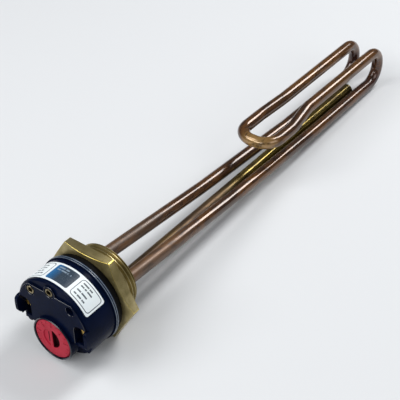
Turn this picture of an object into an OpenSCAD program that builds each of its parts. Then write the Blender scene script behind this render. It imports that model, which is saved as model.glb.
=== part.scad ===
// Screw plug immersion heater with a plug-in rod thermostat.
// The plug's axis is +X: the element points along +X, the dial faces -X, +Z is up.
// The origin lies on the axis, in the plane of the sealing face of the hexagon.

/* [Screw plug] */
// Crest diameter of the parallel pipe thread
thread_dia = 41.9; // [41.5:0.1:44]
// Length of the threaded spigot
thread_length = 11.5; // [10:0.5:16]
// Bevel at the end of the thread
thread_bevel = 1.2; // [0.8:0.1:1.6]
// Hexagon, across flats
hex_across = 54; // [53:1:60]
// Thickness of the hexagon
hex_thickness = 6.4; // [6:0.2:9]
// Bevel that rounds off the hexagon's corners
hex_bevel = 1.3; // [0.8:0.1:1.8]
// Room round the brazed fillets in the well of the wet end
well_room = 0.3; // [0.2:0.1:0.6]
// Depth of the well in the wet end
well_depth = 6; // [4:0.5:8]

/* [Element] */
// Outside diameter of the sheath
tube_dia = 8; // [7.6:0.1:8.2]
// Distance between the two legs in the plug
leg_spread = 24; // [23.5:0.5:24.5]
// Height of the legs above the axis in the plug
leg_rise = 1.6; // [1:0.2:2]
// Where the legs start to lean, from the sealing face
lean_at = 12.5; // [12:0.5:16]
// First easing of the lean, from the sealing face
ease_one_at = 112; // [100:2:124]
// Height of the legs at the first easing
ease_one_rise = -6.4; // [-7:0.2:-6]
// Half distance between the legs at the first easing
ease_one_half = 10.6; // [10.4:0.1:11]
// Second easing of the lean, from the sealing face
ease_two_at = 205; // [190:5:215]
// Height of the legs at the second easing
ease_two_rise = -10.8; // [-11:0.1:-10.6]
// Half distance between the legs at the second easing
ease_two_half = 9.5; // [9.4:0.1:9.8]
// Reach of the far bends, centre line
far_at = 295; // [290:1:310]
// Half distance between the two pairs of runs at the far end
far_half = 9.5; // [9.3:0.1:9.6]
// Height of the lower runs at the far end
lower_rise = -11.4; // [-11.6:0.1:-11.2]
// Height of the upper runs
upper_rise = 13.1; // [12.9:0.1:13.3]
// Radius of each quarter of the far bends
far_bend = 11.8; // [11:0.1:11.9]
// Where the upper runs start to swell apart, from the sealing face
swell_from = 200; // [196:1:205]
// Where the upper runs are level again, from the sealing face
swell_to = 178; // [174:1:182]
// Radius of the two bends of the swell
swell_bend = 30; // [24:1:36]
// Reach of the near bend, centre line
near_at = 151; // [146:1:155]
// Half distance between the upper runs at the near bend
near_half = 12.5; // [12.2:0.1:12.6]
// Height of the near bend
near_rise = 11; // [10.8:0.1:11.2]
// Radius of each quarter of the near bend
near_bend = 11.4; // [10.8:0.1:11.8]
// Radius where the legs start to lean
lean_bend = 60; // [40:5:80]
// Radius of the easings
ease_bend = 250; // [200:10:300]
// Loss of radius of the sheath on a bend
bend_draw = 0.05; // [0.04:0.01:0.06]
// Overlap of a bend into the straight next to it
bend_lap = 0.5; // [0.4:0.1:0.6]
// How far the cold ends stand out of the hexagon
cold_end = 1.8; // [1.4:0.2:2]
// Diameter of the cold pins
pin_dia = 3; // [2.6:0.2:3.2]
// Reach of the cold pins beyond the sheath
pin_reach = 4.2; // [4:0.1:4.4]
// Outside diameter of the end beads
bead_dia = 6.4; // [5.6:0.2:7]
// Length of the end beads
bead_length = 2.4; // [2:0.2:2.6]
// Width of the push-on tabs
tab_width = 6.3; // [6:0.1:6.4]
// Thickness of the push-on tabs
tab_thickness = 0.8; // [0.7:0.1:0.9]
// Width of the brazed fillets at their foot
braze_width = 0.9; // [0.7:0.1:1]
// Height of the brazed fillets
braze_height = 1.4; // [1:0.1:1.8]
// Thickness of the brazed fillets at their upper edge
braze_lip = 0.25; // [0.2:0.05:0.3]

/* [Pocket and rod] */
// Outside diameter of the pocket
pocket_dia = 8; // [7.8:0.1:8.2]
// Drop of the pocket, the rod and the dial below the axis
rod_drop = 12; // [11.8:0.1:12.2]
// Reach of the pocket from the sealing face
pocket_reach = 271; // [255:1:279]
// Thickness of the pocket's closed end
pocket_end = 2; // [1.5:0.5:3]
// Diameter of the rod's tube
rod_dia = 6; // [5.8:0.1:6]
// Inside diameter of the rod's tube
rod_bore = 4.8; // [4.4:0.1:5]
// Reach of the rod from the sealing face
rod_reach = 246; // [220:1:250]
// Diameter of the core rod
core_dia = 2.6; // [2.4:0.1:2.8]

/* [Thermostat] */
// Thickness of the rubber ring on the hexagon
gasket_thickness = 4.6; // [4.2:0.2:5]
// Outside diameter of the rubber ring
gasket_dia = 50; // [49:0.5:51]
// Inside diameter of the rubber ring
gasket_bore = 40; // [39:0.5:42]
// Outside diameter of the base's lip
lip_dia = 52.8; // [52.4:0.2:53.6]
// Thickness of the base's lip
lip_thickness = 2.4; // [2.2:0.1:2.8]
// Depth of the base's spigot in the cover
spigot_depth = 3.4; // [3:0.1:3.6]
// Outside diameter of the cover
body_dia = 51.4; // [51:0.2:52]
// Wall of the cover
body_wall = 2.2; // [2:0.1:2.3]
// Length of the cover, to the upper rim
body_length = 19.6; // [19.4:0.1:20]
// Bevel of the upper rim
rim_bevel = 0.8; // [0.6:0.1:1]
// Height of the raised field above the rim
field_height = 1.2; // [1:0.1:1.4]
// Inset of the raised field from the side
field_inset = 1.2; // [1.1:0.1:1.5]
// Drop of the raised field's straight top edge below the cover's top
field_drop = 6.5; // [6.1:0.1:6.9]
// Front wall
face_wall = 2.6; // [2.4:0.1:2.8]
// Drop of the ledge's edge below the axis
ledge_drop = 7; // [6.8:0.1:7.4]
// Set-back of the ledge behind the rim
ledge_back = 6; // [5.6:0.1:6.4]
// Outside diameter of the dial's collar
collar_dia = 27.2; // [27:0.1:27.3]
// Wall of the dial's collar
collar_wall = 0.9; // [0.8:0.05:0.95]
// Height of the collar above the rim
collar_height = 3.2; // [3:0.1:3.4]
// Depth of the collar's floor below the collar's edge
collar_depth = 4.6; // [4.4:0.1:4.8]
// Thickness of the label
label_thickness = 0.2; // [0.15:0.05:0.25]
// Half angle that the label covers
label_half = 60; // [55:1:70]
// Set-back of the label behind the rim
label_back = 2.2; // [1.8:0.1:2.4]
// Width of the label
label_width = 14.2; // [13.8:0.1:14.4]

/* [Terminals] */
// Distance of the terminal screws from the cover's side
terminal_inset = 5.7; // [5.5:0.1:5.9]
// Room between the clamp blocks and the inner sides of their chambers
chamber_room = 1.4; // [1.2:0.1:1.6]
// Top of the terminal chambers above the axis
chamber_top = 6.6; // [6.2:0.1:7]
// Corner radius of the terminal chambers
chamber_round = 4; // [3:0.2:4.4]
// Depth of the terminal chambers below the rim
chamber_depth = 8; // [7.6:0.1:8.2]
// Side wall left outside the terminal chambers
chamber_wall = 1.8; // [1.6:0.1:1.8]
// Height of the side lobes above the rim
lobe_height = 3; // [2.6:0.1:3.2]
// Half width of the side lobes
lobe_half = 6; // [5.6:0.1:6.4]
// Corner radius of the side lobes
lobe_round = 2.4; // [2:0.1:2.5]
// How far the lips below the chambers reach past the terminal screws
guard_reach = 1.6; // [1.2:0.1:1.8]
// Height of the lips below the chambers
guard_height = 2.4; // [2:0.1:2.6]
// Thickness of the lips below the chambers
guard_thickness = 1.3; // [1:0.1:1.4]
// Length of the side lips that stand below the chambers, outside the wires
side_lip_length = 6.5; // [6:0.1:7]
// Set-back of the side lips behind the rim
side_lip_back = 2; // [1.7:0.1:2.4]
// Inner wall of the terminal chambers
chamber_skin = 1.6; // [1.4:0.1:1.8]
// Clamp block, across
clamp_width = 6.4; // [6:0.1:6.6]
// Clamp block, height
clamp_height = 8; // [7.6:0.1:8.2]
// Clamp block, depth
clamp_depth = 4.4; // [4:0.1:4.6]
// Wire hole in the clamp block
wire_dia = 2.6; // [2.2:0.1:2.8]
// Terminal screw, head diameter
screw_head_dia = 5.4; // [5:0.1:5.6]
// Terminal screw, head height
screw_head = 1.8; // [1.6:0.1:2]
// Terminal screw, shank diameter
screw_dia = 2.9; // [2.7:0.1:3]
// Width of the screwdriver slots
driver_slot = 0.9; // [0.8:0.1:1]
// Height of the terminal screws above the axis
terminal_z = 0.8; // [0.6:0.1:1]
// Hollow rivets, outside diameter
rivet_dia = 4.2; // [4:0.1:4.4]
// Hollow rivets, bore
rivet_bore = 3.1; // [2.9:0.1:3.3]
// Hollow rivets, height of the rolled rim
rivet_rim = 0.4; // [0.3:0.1:0.5]
// Hollow rivets, rim diameter
rivet_rim_dia = 5; // [4.8:0.1:5.2]
// Recess round each hollow rivet, diameter
recess_dia = 6.4; // [6.2:0.1:6.6]
// Recess round each hollow rivet, depth
recess_depth = 0.5; // [0.4:0.1:0.6]
// Diameter of the plain hole
plain_hole_dia = 5.4; // [5.2:0.1:5.6]
// Boss round the upper rivet
rivet_boss_dia = 8; // [7.4:0.2:8.2]
// Distance of the side rivet and of the plain hole from the cover's side
side_hole_inset = 5.2; // [5:0.1:5.4]
// Angle of the side rivet and of the plain hole above the level
side_hole_angle = 47; // [45:1:49]
// Distance of the upper rivet from the cover's side
upper_hole_inset = 5.3; // [5.1:0.1:5.5]
// Thickness of the brass straps
strap_thickness = 0.8; // [0.7:0.1:0.9]
// Width of the brass straps
strap_width = 4; // [3.6:0.1:4.1]
// Wall of the receptacles
clip_wall = 0.6; // [0.5:0.1:0.7]

/* [Dial] */
// Diameter of the dial
dial_dia = 24.8; // [24.4:0.1:25]
// Bevel round the dial
dial_bevel = 0.5; // [0.3:0.1:0.7]
// How far the dial lies below the collar's edge
dial_sink = 0.5; // [0.4:0.1:0.7]
// Diameter of the round recess in the dial
grip_dia = 13; // [12:0.5:14]
// Depth of the round recess
grip_depth = 0.6; // [0.5:0.1:0.8]
// Depth of the half-round slot
slot_depth = 2.5; // [2.3:0.1:2.6]
// Shift of the half-round slot's centre towards the bar
slot_shift = 1.5; // [1:0.1:2]
// Width of the bar between the slot and the slit
bar_width = 2; // [1.8:0.1:2.4]
// Width of the slit
slit_width = 0.8; // [0.6:0.1:1]
// Length of the slit
slit_length = 7; // [6:0.5:8]
// Depth of the spindle's socket in the dial
socket_depth = 0.9; // [0.8:0.1:1]
// Diameter of the spindle
spindle_dia = 4.8; // [4.6:0.1:5]
// Outside diameter of the spindle's bush
bush_dia = 9; // [8.6:0.2:9.4]
// Length of the spindle's bush behind the floor
bush_length = 4; // [3.6:0.2:4.4]
// Distance of the stop peg from the dial's axis
stop_radius = 9; // [8.8:0.1:9.2]
// Diameter of the stop peg
stop_dia = 2.2; // [2:0.1:2.3]
// Depth of the stop's groove
stop_depth = 1.2; // [1:0.1:1.3]
// Travel of the dial, either way
dial_travel = 120; // [100:5:130]

/* [Switch] */
// Width of the lever
lever_width = 5; // [4:0.2:5.4]
// Thickness of the lever
lever_thickness = 1; // [0.8:0.1:1.1]
// Upper end of the lever above the axis
lever_top = 9; // [8:0.2:9.6]
// Lower end of the lever below the axis
lever_bottom = 17.5; // [17:0.1:18]
// Width of the switch blade
blade_width = 4.4; // [4:0.1:4.8]
// Thickness of the switch blade
blade_thickness = 0.4; // [0.3:0.1:0.5]
// Height of the contacts above the axis
contact_z = 12.6; // [12.2:0.1:13]
// Diameter of the push pin
push_dia = 3; // [2.6:0.1:3.2]
// Height of the push pin above the axis
push_z = 7.4; // [7:0.1:7.6]
// Height of the fulcrum on the base
fulcrum_height = 0.6; // [0.5:0.1:0.8]
// Thickness of the fulcrum
fulcrum_width = 1.4; // [1.2:0.1:1.6]
// Diameter of the contact buttons
button_dia = 3.4; // [3:0.1:3.8]
// Thickness of each contact button
button_thickness = 0.9; // [0.8:0.1:1]

/* [Fits] */
// Running clearance of the spindle in its bush, radial
spindle_clearance = 0.05; // [0.03:0.01:0.08]
// Clearance of the rod in the pocket, radial
rod_clearance = 0.3; // [0.2:0.02:0.4]
// Clearance of the base's spigot in the cover, radial
spigot_clearance = 0.1; // [0.08:0.01:0.15]
// Clearance of the tubes in the plug, filled by the braze, radial
braze_clearance = 0.08; // [0.05:0.01:0.1]
// Clearance of the tabs in their receptacles
tab_clearance = 0.05; // [0.03:0.01:0.08]
// Gap between the ends of the tabs and the straps
tab_gap = 0.2; // [0.15:0.05:0.3]
// Clearance of the stop peg in its groove
stop_clearance = 0.4; // [0.3:0.05:0.5]
// Gap between the dial and the floor of its collar
dial_gap = 0.4; // [0.3:0.05:0.5]
// Gap between the spindle's tip and the lever
tip_gap = 0.3; // [0.25:0.05:0.4]

/* [Hidden] */
$fn = 64;
eps = 0.5;

leg_y = leg_spread / 2;
hex_front = -hex_thickness;
tube_span = max(norm([leg_y, leg_rise]) + tube_dia / 2, rod_drop + pocket_dia / 2);
well_r = tube_span + braze_width + well_room;
cold_x = hex_front - cold_end;
base_back = hex_front - gasket_thickness;
cover_back = base_back - lip_thickness;
spigot_front = cover_back - spigot_depth;
rim_x = cover_back - body_length;
field_x = rim_x - field_height;
rivet_x = field_x + recess_depth;
face_back = rim_x + face_wall;
ledge_x = rim_x + ledge_back;
collar_x = rim_x - collar_height;
floor_x = collar_x + collar_depth;
floor_back = floor_x + face_wall;
body_r = body_dia / 2;
cavity_r = body_r - body_wall;
field_r = body_r - field_inset;
field_top = body_r - field_drop;
terminal_y = body_r - terminal_inset;
chamber_y = terminal_y - clamp_width / 2 - chamber_room;
side_hole_y = (body_r - side_hole_inset) * cos(side_hole_angle);
side_hole_z = (body_r - side_hole_inset) * sin(side_hole_angle);
upper_hole_z = body_r - upper_hole_inset;
chamber_x = rim_x + chamber_depth;
chamber_back = chamber_x + face_wall;
pocket_bore = rod_dia + 2 * rod_clearance;
mid_r = body_r - body_wall / 2;
hollow_r = collar_dia / 2 - face_wall;
label_front = rim_x + label_back;
dial_x = collar_x + dial_sink;
dial_back = floor_x - dial_gap;
lever_back = spigot_front - fulcrum_height;
lever_front = lever_back - lever_thickness;
tip_x = lever_front - tip_gap;
strap_back = chamber_back + strap_thickness;
blade_back = strap_back + blade_thickness;
load_back = strap_back - 2 * button_thickness;
load_front = load_back - strap_thickness;
clip_back = spigot_front;
clip_half_y = tab_thickness / 2 + tab_clearance + clip_wall;
clip_half_z = tab_width / 2 + tab_clearance + clip_wall;
riser_y = leg_y - 3 * clip_half_y;
pin_front = cold_x - pin_reach;
tab_front = strap_back + tab_gap;
peg_r = stop_dia / 2;
groove_half = dial_travel + asin((peg_r + stop_clearance) / stop_radius);

function unit(v) = v / norm(v);
function turn_at(p, i) = acos(unit(p[i] - p[i - 1]) * unit(p[i + 1] - p[i]));
function trim_at(p, r, i) = r[i] * tan(turn_at(p, i) / 2);
function run_from(p, r, i) = p[i] + unit(p[i + 1] - p[i]) * (i == 0 ? 0 : trim_at(p, r, i));
function run_to(p, r, i) = p[i] - unit(p[i] - p[i - 1]) * trim_at(p, r, i);

// Corner points of one half of the sheath, from its cold end to the middle of the near bend.
half_path = [
    [cold_x, leg_y, leg_rise],
    [lean_at, leg_y, leg_rise],
    [ease_one_at, ease_one_half, ease_one_rise],
    [ease_two_at, ease_two_half, ease_two_rise],
    [far_at, far_half, lower_rise],
    [far_at, far_half, upper_rise],
    [swell_from, far_half, upper_rise],
    [swell_to, near_half, near_rise],
    [near_at, near_half, near_rise],
    [near_at, 0, near_rise]
];
half_bends = [0, lean_bend, ease_bend, ease_bend, far_bend, far_bend,
              swell_bend, swell_bend, near_bend, 0];
corners = len(half_path) - 2;
near_straight = near_half - near_bend;

module along_x(x, y = 0, z = 0) {
    translate([x, y, z]) rotate([0, 90, 0]) children();
}

module slab(x_from, x_to) {
    translate([x_from, 0, 0]) rotate([90, 0, 90]) linear_extrude(x_to - x_from) children();
}

module both_sides() {
    children();
    mirror([0, 1, 0]) children();
}

module tube_run(p, q) {
    d = q - p;
    translate(p) rotate([0, acos(d[2] / norm(d)), atan2(d[1], d[0])])
        cylinder(d = tube_dia, h = norm(d));
}

module tube_bend(p, r, i) {
    u = unit(p[i] - p[i - 1]);
    n = unit(cross(u, unit(p[i + 1] - p[i])));
    e = -cross(n, u);
    c = run_to(p, r, i) - e * r[i];
    lap = bend_lap / r[i] * 180 / PI;
    multmatrix([
        [e[0], u[0], n[0], c[0]],
        [e[1], u[1], n[1], c[1]],
        [e[2], u[2], n[2], c[2]],
        [0, 0, 0, 1]
    ])
        rotate([0, 0, -lap])
            rotate_extrude(angle = turn_at(p, i) + 2 * lap)
                translate([r[i], 0]) circle(d = tube_dia - 2 * bend_draw);
}

module element_sheath() {
    color("#7A5240") {
        both_sides() {
            for (i = [0 : corners - 1])
                tube_run(run_from(half_path, half_bends, i), run_to(half_path, half_bends, i + 1));
            for (i = [1 : corners])
                tube_bend(half_path, half_bends, i);
        }
        tube_run([near_at, near_straight, near_rise], [near_at, -near_straight, near_rise]);
    }
}

module screw_plug() {
    color("#B09A58") difference() {
        union() {
            intersection() {
                along_x(hex_front) rotate([0, 0, 30])
                    cylinder(d = hex_across / cos(30), h = hex_thickness, $fn = 6);
                along_x(hex_front)
                    cylinder(r1 = hex_across / 2 / cos(30) - hex_bevel,
                             r2 = hex_across / 2 / cos(30) - hex_bevel + 2 * hex_thickness,
                             h = hex_thickness);
            }
            along_x(-eps) cylinder(d = thread_dia, h = thread_length + eps - thread_bevel);
            along_x(thread_length - thread_bevel)
                cylinder(d1 = thread_dia, d2 = thread_dia - 2 * thread_bevel, h = thread_bevel);
        }
        along_x(thread_length - well_depth) cylinder(r = well_r, h = well_depth + eps);
        both_sides() along_x(hex_front - eps, leg_y, leg_rise)
            cylinder(d = tube_dia + 2 * braze_clearance, h = hex_thickness + thread_length + 2 * eps);
        along_x(hex_front - eps, 0, -rod_drop)
            cylinder(d = pocket_dia + 2 * braze_clearance, h = hex_thickness + thread_length + 2 * eps);
    }
}

module braze_fillet(y, z, tube) {
    along_x(thread_length - well_depth, y, z) difference() {
        cylinder(d1 = tube + 2 * braze_width, d2 = tube + 2 * braze_lip, h = braze_height);
        translate([0, 0, -eps]) cylinder(d = tube, h = braze_height + 2 * eps);
    }
}

module braze_fillets() {
    color("#C9B060") {
        both_sides() braze_fillet(leg_y, leg_rise, tube_dia);
        braze_fillet(0, -rod_drop, pocket_dia);
    }
}

module cold_pins() {
    color("#B8BCC0") both_sides() along_x(pin_front, leg_y, leg_rise)
        cylinder(d = pin_dia, h = pin_reach);
}

module end_beads() {
    color("#E4DDCF") both_sides() along_x(cold_x - bead_length, leg_y, leg_rise) difference() {
        cylinder(d = bead_dia, h = bead_length);
        translate([0, 0, -eps]) cylinder(d = pin_dia, h = bead_length + 2 * eps);
    }
}

module push_on_tabs() {
    color("#C8CACC") both_sides()
        translate([tab_front, leg_y - tab_thickness / 2, leg_rise - tab_width / 2])
            cube([pin_front - tab_front, tab_thickness, tab_width]);
}

module thermostat_pocket() {
    color("#A88B4A") along_x(cold_x, 0, -rod_drop) difference() {
        cylinder(d = pocket_dia, h = pocket_reach - cold_x);
        translate([0, 0, -eps]) cylinder(d = pocket_bore, h = pocket_reach - cold_x - pocket_end + eps);
    }
}

module rod_tube() {
    color("#C2A85A") along_x(spigot_front, 0, -rod_drop) difference() {
        cylinder(d = rod_dia, h = rod_reach - spigot_front);
        translate([0, 0, -eps]) cylinder(d = rod_bore, h = rod_reach - spigot_front - pocket_end + eps);
    }
}

module rod_core() {
    color("#9A9EA2") along_x(lever_back, 0, -rod_drop)
        cylinder(d = core_dia, h = rod_reach - lever_back - pocket_end);
}

module head_gasket() {
    color("#17181A") along_x(base_back) difference() {
        cylinder(d = gasket_dia, h = gasket_thickness);
        translate([0, 0, -eps]) cylinder(d = gasket_bore, h = gasket_thickness + 2 * eps);
    }
}

module thermostat_base() {
    color("#12151C") difference() {
        union() {
            along_x(cover_back) cylinder(d = lip_dia, h = lip_thickness);
            along_x(spigot_front)
                cylinder(r = cavity_r - spigot_clearance, h = spigot_depth + lip_thickness / 2);
            translate([lever_back, -lever_width / 2, -lever_bottom])
                cube([fulcrum_height + eps, lever_width, fulcrum_width]);
        }
        along_x(lever_back - eps, 0, -rod_drop)
            cylinder(d = rod_dia, h = base_back - lever_back + 2 * eps);
        both_sides()
            translate([spigot_front - eps, leg_y - pin_dia / 2 - eps, leg_rise - tab_width / 2 - eps])
                cube([base_back - spigot_front + 2 * eps, pin_dia + 2 * eps, tab_width + 2 * eps]);
    }
}

module chamber_outline() {
    intersection() {
        circle(r = body_r - chamber_wall);
        union() {
            translate([chamber_y, -body_r]) square([body_r, body_r + chamber_top - chamber_round]);
            translate([chamber_y + chamber_round, -body_r]) square([body_r, body_r + chamber_top]);
            translate([chamber_y + chamber_round, chamber_top - chamber_round]) circle(r = chamber_round);
        }
        translate([0, -ledge_drop]) square([body_r, body_dia]);
    }
}

module field_outline() {
    intersection() {
        circle(r = field_r);
        translate([-body_r, -ledge_drop]) square([body_dia, ledge_drop + field_top]);
    }
    translate([0, upper_hole_z]) circle(d = rivet_boss_dia);
}

module cover_shell() {
    difference() {
        union() {
            along_x(rim_x + rim_bevel) cylinder(r = body_r, h = body_length - rim_bevel);
            along_x(rim_x) cylinder(r1 = body_r - rim_bevel, r2 = body_r, h = rim_bevel);
        }
        along_x(face_back) cylinder(r = cavity_r, h = body_length);
        translate([rim_x - eps, -body_dia, -body_dia - ledge_drop])
            cube([ledge_back + eps, 2 * body_dia, body_dia]);
    }
}

module cover_walls() {
    intersection() {
        along_x(rim_x + face_wall / 2) cylinder(r = mid_r, h = body_length);
        union() {
            translate([ledge_x, -body_r, -body_r])
                cube([face_wall, body_dia, body_r - ledge_drop + face_wall]);
            translate([rim_x, -body_r, -ledge_drop])
                cube([ledge_back + face_wall, body_dia, face_wall]);
            both_sides() translate([rim_x, chamber_y - chamber_skin, -ledge_drop])
                cube([chamber_back - rim_x, body_r, ledge_drop + chamber_top + chamber_skin]);
        }
    }
}

module lobe_outline() {
    translate([lobe_round - lobe_height, -lobe_half])
        square([lobe_height - lobe_round + face_wall, 2 * lobe_half]);
    translate([-lobe_height, lobe_round - lobe_half])
        square([lobe_height, 2 * (lobe_half - lobe_round)]);
    for (side = [-1, 1])
        translate([lobe_round - lobe_height, side * (lobe_half - lobe_round)]) circle(r = lobe_round);
}

module side_lobe() {
    intersection() {
        along_x(rim_x - lobe_height) difference() {
            cylinder(r = body_r, h = lobe_height + face_wall);
            translate([0, 0, -eps])
                cylinder(r = body_r - chamber_wall, h = lobe_height + face_wall + 2 * eps);
        }
        translate([rim_x, 0, 0]) rotate([-90, 0, 0]) linear_extrude(body_r + eps) lobe_outline();
    }
}

module wire_guard() {
    inner_y = chamber_y - chamber_skin;
    slab(rim_x, rim_x + guard_thickness) {
        translate([inner_y, -ledge_drop - guard_height])
            square([terminal_y + guard_reach - inner_y, guard_height]);
        translate([inner_y, -ledge_drop - guard_height]) square([chamber_skin, 2 * guard_height]);
    }
}

module side_lip() {
    intersection() {
        along_x(rim_x + side_lip_back) difference() {
            cylinder(r = body_r, h = ledge_back - side_lip_back + face_wall / 2);
            translate([0, 0, -eps]) cylinder(r = body_r - chamber_wall, h = body_length);
        }
        translate([rim_x, 0, -ledge_drop - side_lip_length])
            cube([ledge_back + face_wall, body_r + eps, side_lip_length + face_wall / 2]);
    }
}

module stop_groove() {
    along_x(floor_x - eps, 0, -rod_drop) rotate([0, 0, 180 - groove_half])
        rotate_extrude(angle = 2 * groove_half)
            translate([stop_radius - peg_r - stop_clearance, 0])
                square([stop_dia + 2 * stop_clearance, stop_depth + eps]);
}

module rivet_seat(y, z) {
    along_x(field_x - eps, y, z) {
        cylinder(d = recess_dia, h = recess_depth + eps);
        cylinder(d = rivet_dia, h = body_length);
    }
}

module thermostat_cover() {
    color("#141822") difference() {
        union() {
            cover_shell();
            cover_walls();
            slab(field_x, rim_x + face_wall / 2) field_outline();
            along_x(collar_x, 0, -rod_drop) cylinder(d = collar_dia, h = ledge_x + face_wall / 2 - collar_x);
            both_sides() side_lobe();
            both_sides() wire_guard();
            both_sides() side_lip();
            along_x(floor_back - eps, 0, -rod_drop) cylinder(d = bush_dia, h = bush_length + eps);
        }
        both_sides() slab(collar_x - eps, chamber_x) chamber_outline();
        along_x(collar_x - eps, 0, -rod_drop)
            cylinder(d = collar_dia - 2 * collar_wall, h = collar_depth + eps);
        along_x(floor_back, 0, -rod_drop) difference() {
            cylinder(r = hollow_r, h = body_length);
            translate([0, 0, -eps]) cylinder(d = bush_dia, h = bush_length + eps);
        }
        stop_groove();
        along_x(collar_x, 0, -rod_drop)
            cylinder(d = spindle_dia + 2 * spindle_clearance, h = body_length);
        rivet_seat(side_hole_y, side_hole_z);
        rivet_seat(0, upper_hole_z);
        along_x(field_x - eps, -side_hole_y, side_hole_z) cylinder(d = plain_hole_dia, h = body_length);
        both_sides() along_x(chamber_x - eps, terminal_y, terminal_z)
            cylinder(d = screw_dia, h = face_wall + 2 * eps);
    }
}

module label() {
    color("#EEF2F6") along_x(label_front) rotate([0, 0, 180 - label_half])
        rotate_extrude(angle = 2 * label_half)
            translate([body_r, 0]) square([label_thickness, label_width]);
}

module hollow_rivet(y, z) {
    along_x(rivet_x - rivet_rim, y, z) difference() {
        union() {
            cylinder(d = rivet_rim_dia, h = rivet_rim);
            cylinder(d = rivet_dia, h = chamber_back - rivet_x + rivet_rim);
        }
        translate([0, 0, -eps]) cylinder(d = rivet_bore, h = body_length);
    }
}

module hollow_rivets() {
    color("#C7A24A") {
        hollow_rivet(side_hole_y, side_hole_z);
        hollow_rivet(0, upper_hole_z);
    }
}

module terminal_clamps() {
    color("#C2A24E") both_sides() difference() {
        translate([chamber_x - clamp_depth, terminal_y - clamp_width / 2, terminal_z - clamp_height / 2])
            cube([clamp_depth, clamp_width, clamp_height]);
        along_x(chamber_x - clamp_depth - eps, terminal_y, terminal_z)
            cylinder(d = screw_dia, h = clamp_depth + 2 * eps);
        translate([chamber_x - clamp_depth / 2, terminal_y, terminal_z - clamp_height])
            cylinder(d = wire_dia, h = clamp_height);
    }
}

module terminal_screws() {
    color("#D2B45C") both_sides() along_x(chamber_x - clamp_depth - screw_head, terminal_y, terminal_z)
        difference() {
            union() {
                cylinder(d = screw_head_dia, h = screw_head);
                cylinder(d = screw_dia, h = screw_head + clamp_depth + face_wall + strap_thickness);
            }
            translate([-screw_head_dia, -driver_slot / 2, -eps])
                cube([2 * screw_head_dia, driver_slot, screw_head / 2 + eps]);
        }
}

module receptacle(y, x_from) {
    translate([x_from, y, leg_rise]) difference() {
        translate([0, -clip_half_y, -clip_half_z])
            cube([clip_back - x_from, 2 * clip_half_y, 2 * clip_half_z]);
        translate([eps, -tab_thickness / 2 - tab_clearance, -tab_width / 2 - tab_clearance])
            cube([clip_back - x_from, tab_thickness + 2 * tab_clearance, tab_width + 2 * tab_clearance]);
    }
}

module strap_bar(p, q, width, x_from, x_to) {
    d = unit(q - p) * width / 2;
    s = [-d[1], d[0]];
    slab(x_from, x_to) polygon([p - d + s, q + d + s, q + d - s, p - d - s]);
}

module neutral_strap() {
    color("#C2A24E") difference() {
        union() {
            receptacle(leg_y, strap_back - eps);
            strap_bar([leg_y, terminal_z], [terminal_y, terminal_z], screw_head_dia,
                      chamber_back, strap_back);
            strap_bar([leg_y + clip_half_y, terminal_z], [side_hole_y, side_hole_z], strap_width,
                      chamber_back, strap_back);
        }
        along_x(chamber_back - eps, terminal_y, terminal_z)
            cylinder(d = screw_dia, h = strap_thickness + 2 * eps);
    }
}

module line_strap() {
    color("#C2A24E") difference() {
        union() {
            strap_bar([-terminal_y, terminal_z], [-chamber_y, contact_z], strap_width,
                      chamber_back, strap_back);
            strap_bar([-chamber_y, contact_z], [0, upper_hole_z], strap_width,
                      chamber_back, strap_back);
        }
        along_x(chamber_back - eps, -terminal_y, terminal_z)
            cylinder(d = screw_dia, h = strap_thickness + 2 * eps);
    }
}

module load_clip() {
    color("#C2A24E") {
        receptacle(-leg_y, strap_back - eps);
        strap_bar([-leg_y, leg_rise], [-riser_y, leg_rise], 2 * clip_half_y, strap_back - eps, strap_back);
        translate([load_front, -riser_y - clip_half_y, leg_rise - clip_half_y])
            cube([strap_back - load_front, 2 * clip_half_y, 2 * clip_half_y]);
        strap_bar([-riser_y, leg_rise], [0, contact_z], 2 * clip_half_y, load_front, load_back);
    }
}

module switch_blade() {
    color("#B5803F") translate([strap_back, -blade_width / 2, push_z - push_dia])
        cube([blade_thickness, blade_width, upper_hole_z - push_z + 2 * push_dia]);
}

module contact_button(x) {
    along_x(x, 0, contact_z) cylinder(d = button_dia, h = button_thickness);
}

module fixed_contact() {
    color("#D5D8DA") contact_button(load_back);
}

module moving_contact() {
    color("#D5D8DA") contact_button(load_back + button_thickness);
}

module push_pin() {
    color("#E4DDCF") along_x(blade_back, 0, push_z) cylinder(d = push_dia, h = lever_front - blade_back);
}

module switch_lever() {
    color("#A9ADB0") translate([lever_front, -lever_width / 2, -lever_bottom])
        cube([lever_thickness, lever_width, lever_bottom + lever_top]);
}

module dial_blank() {
    cylinder(d1 = dial_dia - 2 * dial_bevel, d2 = dial_dia, h = dial_bevel);
    translate([0, 0, dial_bevel]) cylinder(d = dial_dia, h = dial_back - dial_x - dial_bevel);
}

module adjusting_dial() {
    color("#B3263E") difference() {
        union() {
            along_x(dial_x, 0, -rod_drop) dial_blank();
            along_x(dial_back - eps, 0, stop_radius - rod_drop)
                cylinder(r = peg_r, h = stop_depth + eps);
        }
        translate([0, 0, -rod_drop]) {
            slab(dial_x - eps, dial_x + slot_depth) intersection() {
                translate([slot_shift, 0]) circle(d = grip_dia);
                translate([-grip_dia, -grip_dia]) square([grip_dia, 2 * grip_dia]);
            }
            slab(dial_x - eps, dial_x + grip_depth) intersection() {
                circle(d = grip_dia);
                translate([bar_width, -grip_dia]) square([grip_dia, 2 * grip_dia]);
            }
            slab(dial_x - eps, dial_x + slot_depth)
                translate([bar_width, -slit_length / 2]) square([slit_width, slit_length]);
        }
        along_x(dial_back - socket_depth, 0, -rod_drop) cylinder(d = spindle_dia, h = socket_depth + eps);
    }
}

module adjusting_spindle() {
    color("#C2A85A") along_x(dial_back - socket_depth, 0, -rod_drop)
        cylinder(d = spindle_dia, h = tip_x - dial_back + socket_depth);
}

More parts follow.
